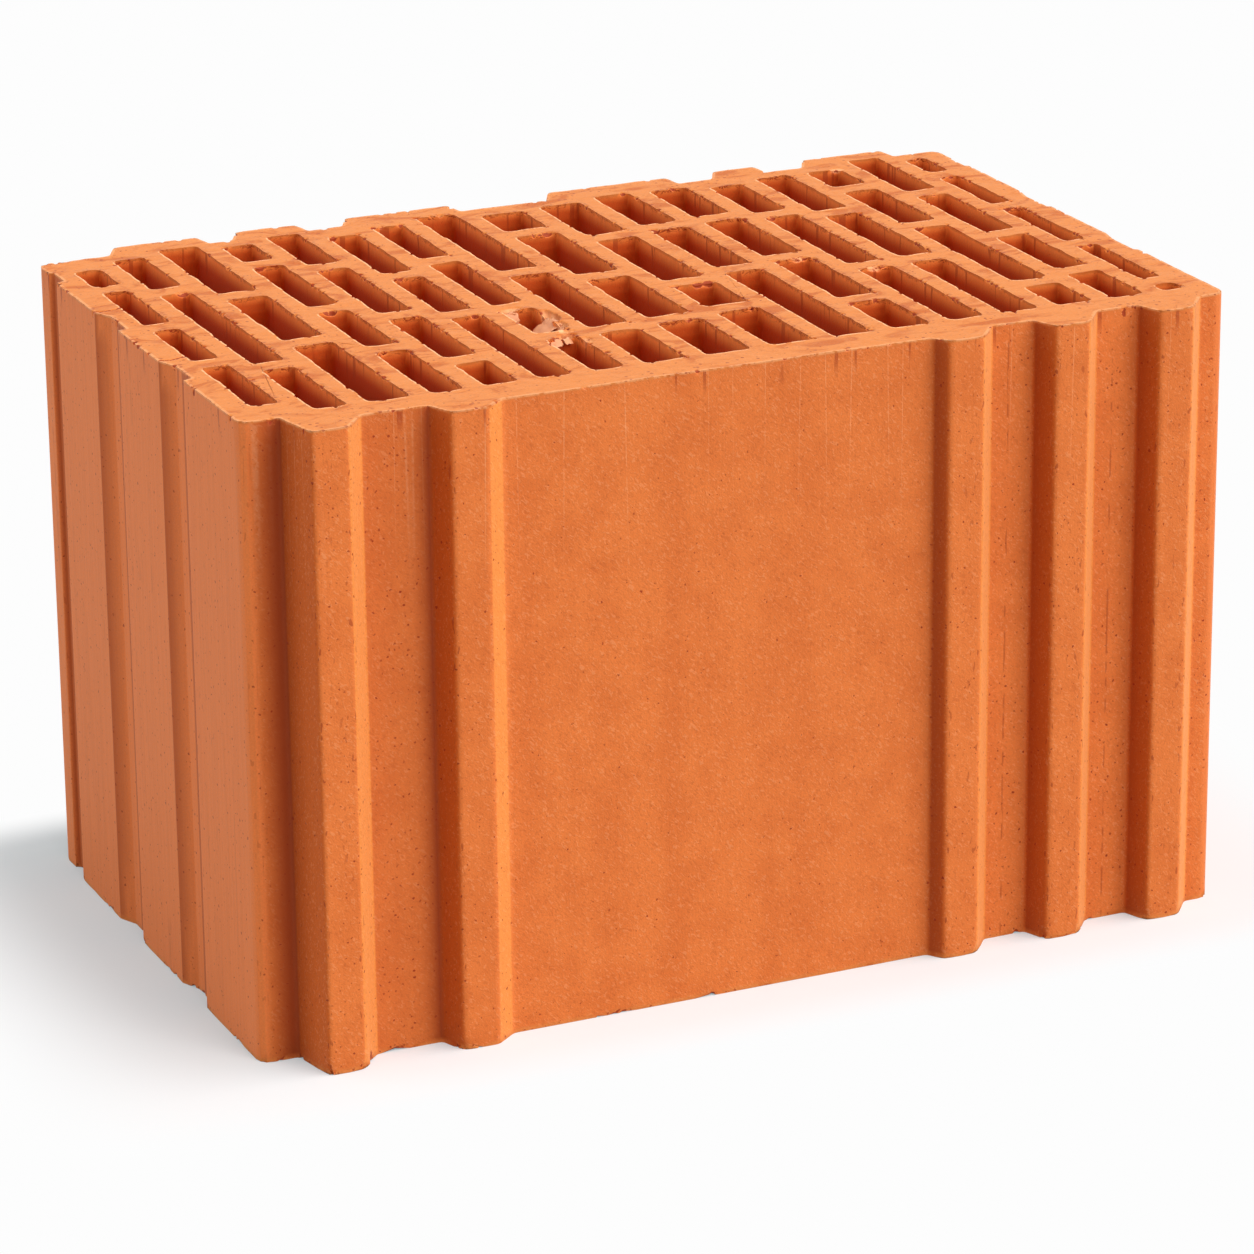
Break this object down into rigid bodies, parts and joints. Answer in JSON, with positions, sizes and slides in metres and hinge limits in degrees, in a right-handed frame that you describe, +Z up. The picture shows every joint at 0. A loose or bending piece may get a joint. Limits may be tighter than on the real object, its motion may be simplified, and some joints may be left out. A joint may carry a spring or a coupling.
{
  "type": "perforated clay wall block",
  "caption": "Hollow fired clay wall block with rows of vertical slots, interlocking tongues on its long sides and plaster keys on its ends.",
  "frame": {"origin": "middle of the footprint's bounding rectangle, on the bottom bed face", "axes": "+X along the block, through the thickness of the wall; +Y from the long side with the plain panel to the other long side; +Z up, along the slots"},
  "size_m": [0.38, 0.248, 0.238],
  "materials": {
    "fired_clay": "matte, porous, unglazed"
  },
  "bodies": {
    "root": {"clay_block": "fired_clay"}
  },
  "joints": []
}
